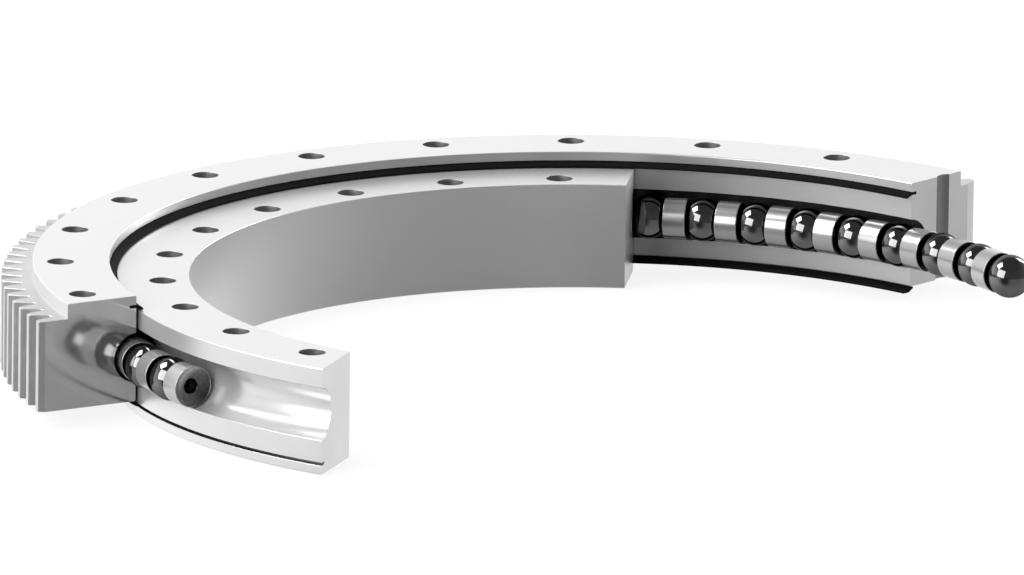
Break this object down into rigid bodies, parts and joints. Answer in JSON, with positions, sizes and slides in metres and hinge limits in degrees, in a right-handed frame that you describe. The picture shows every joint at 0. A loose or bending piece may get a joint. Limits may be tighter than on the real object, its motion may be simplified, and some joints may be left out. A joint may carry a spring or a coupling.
{
  "type": "slewing ring bearing",
  "caption": "Cutaway slewing ring: an inner ring, an outer ring with external gear teeth, and balls with spacers rolling between them.",
  "frame": {"origin": "centre of the part's box in X and Y, at the inner ring's bottom face in Z; the ring axis runs along Z at x 0.04903, y -0.06358", "axes": "+Z along the ring axis, from the geared side up to the toothless flange; +X and +Y as the source sets the cuts, in whose frame the missing front sector lies towards -Y"},
  "size_m": [0.6748, 0.6456, 0.08],
  "materials": {
    "ring_steel": "finely turned and ground steel, slightly glossy, ground tooth flanks",
    "ball_steel": "polished bearing balls with mirror reflections",
    "spacer_steel": "bright satin turned spacers with dished ends",
    "seal_rubber": "black moulded rubber, semi-matt"
  },
  "bodies": {
    "inner_ring": {"inner_ring": "ring_steel", "bottom_seal": "seal_rubber"},
    "outer_ring": {"outer_ring": "ring_steel", "top_seal": "seal_rubber"},
    "ball_train": {"ball_01": "ball_steel", "ball_02": "ball_steel", "ball_03": "ball_steel", "ball_04": "ball_steel", "ball_05": "ball_steel", "ball_06": "ball_steel", "ball_07": "ball_steel", "ball_08": "ball_steel", "ball_09": "ball_steel", "ball_10": "ball_steel", "ball_11": "ball_steel", "ball_12": "ball_steel", "ball_13": "ball_steel", "ball_14": "ball_steel", "ball_15": "ball_steel", "ball_16": "ball_steel", "ball_17": "ball_steel", "ball_18": "ball_steel", "ball_19": "ball_steel", "ball_20": "ball_steel", "ball_21": "ball_steel", "ball_22": "ball_steel", "ball_23": "ball_steel", "ball_24": "ball_steel", "ball_25": "ball_steel", "ball_26": "ball_steel", "ball_27": "ball_steel", "ball_28": "ball_steel", "spacer_01": "spacer_steel", "spacer_02": "spacer_steel", "spacer_03": "spacer_steel", "spacer_04": "spacer_steel", "spacer_05": "spacer_steel", "spacer_06": "spacer_steel", "spacer_07": "spacer_steel", "spacer_08": "spacer_steel", "spacer_09": "spacer_steel", "spacer_10": "spacer_steel", "spacer_11": "spacer_steel", "spacer_12": "spacer_steel", "spacer_13": "spacer_steel", "spacer_14": "spacer_steel", "spacer_15": "spacer_steel", "spacer_16": "spacer_steel", "spacer_17": "spacer_steel", "spacer_18": "spacer_steel", "spacer_19": "spacer_steel", "spacer_20": "spacer_steel", "spacer_21": "spacer_steel", "spacer_22": "spacer_steel", "spacer_23": "spacer_steel", "spacer_24": "spacer_steel", "spacer_25": "spacer_steel", "spacer_26": "spacer_steel", "spacer_27": "spacer_steel", "spacer_28": "spacer_steel"}
  },
  "joints": [
    {"name": "ring_turn", "type": "hinge", "parent": "inner_ring", "child": "outer_ring", "pos_m": [0.04903, -0.06358, 0.04], "axis": [0, 0, 1], "continuous": true},
    {"name": "train_turn", "type": "hinge", "parent": "inner_ring", "child": "ball_train", "pos_m": [0.04903, -0.06358, 0.04], "axis": [0, 0, 1], "continuous": true}
  ],
  "couplings": [
    {"joint": "train_turn", "follows": "ring_turn", "ratio": 0.5161}
  ]
}
